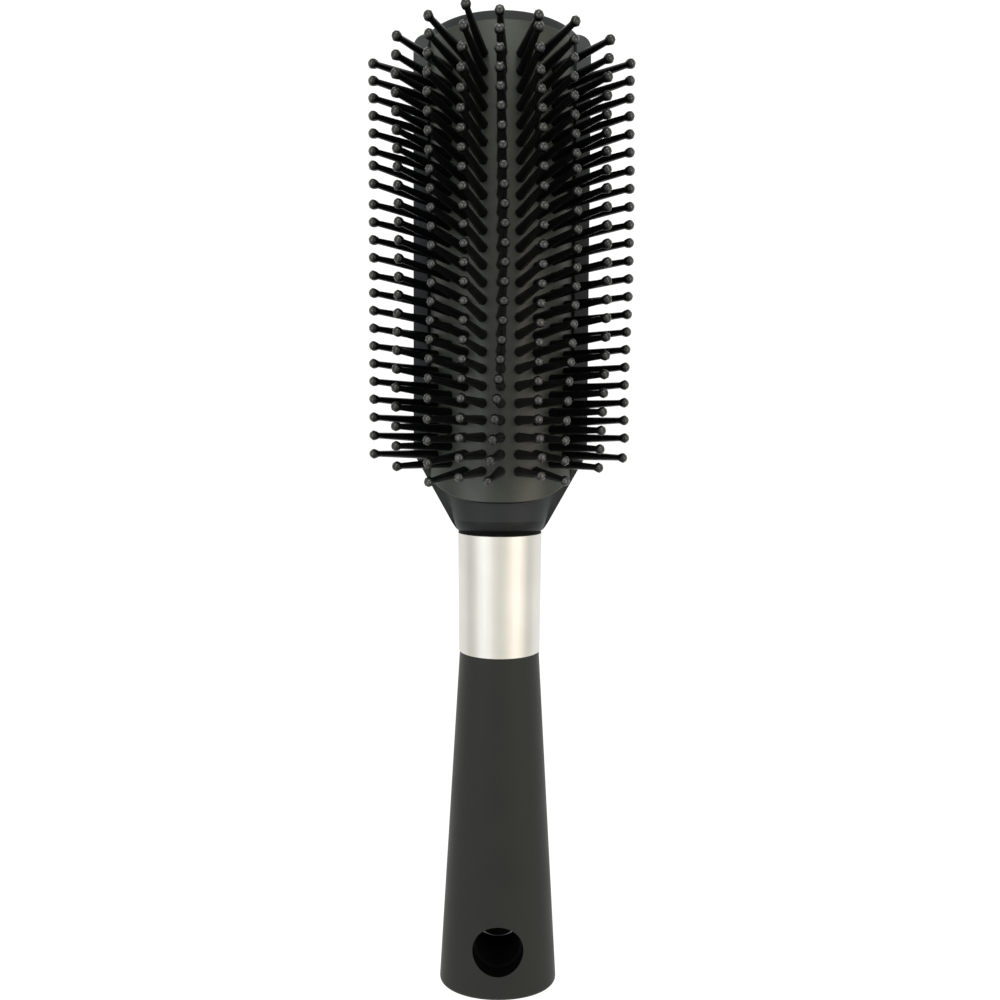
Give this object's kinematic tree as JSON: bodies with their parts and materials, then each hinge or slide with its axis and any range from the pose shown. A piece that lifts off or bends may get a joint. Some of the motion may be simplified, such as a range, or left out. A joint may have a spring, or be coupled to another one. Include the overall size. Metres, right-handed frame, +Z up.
{
  "type": "half-round styling brush",
  "caption": "Half-round styling brush: an arched rubber pad pierced by rows of ball-tipped pins, in a dark frame on an oval soft-grip handle with a metal collar.",
  "frame": {"origin": "under the middle of the brush's length, on the surface that its back lies on", "axes": "+Y along the brush towards the end of the head, +Z up out of the pins, +X to the right seen from the pins with the head at the top"},
  "size_m": [0.0598, 0.2364, 0.0378],
  "materials": {
    "frame_plastic": "moulded satin",
    "pad_rubber": "matte moulded rubber",
    "pin_plastic": "smooth nylon",
    "collar_metal": "satin drawn",
    "core_plastic": "plain moulded",
    "grip_rubber": "soft-touch matte"
  },
  "bodies": {
    "root": {"head_frame": "frame_plastic", "cushion_pad": "pad_rubber", "collar": "collar_metal", "handle_core": "core_plastic", "grip": "grip_rubber", "pin_strip_centre": "pin_plastic", "pin_strip_left_1": "pin_plastic", "pin_strip_left_2": "pin_plastic", "pin_strip_left_3": "pin_plastic", "pin_strip_left_4": "pin_plastic", "pin_strip_right_1": "pin_plastic", "pin_strip_right_2": "pin_plastic", "pin_strip_right_3": "pin_plastic", "pin_strip_right_4": "pin_plastic"}
  },
  "joints": []
}
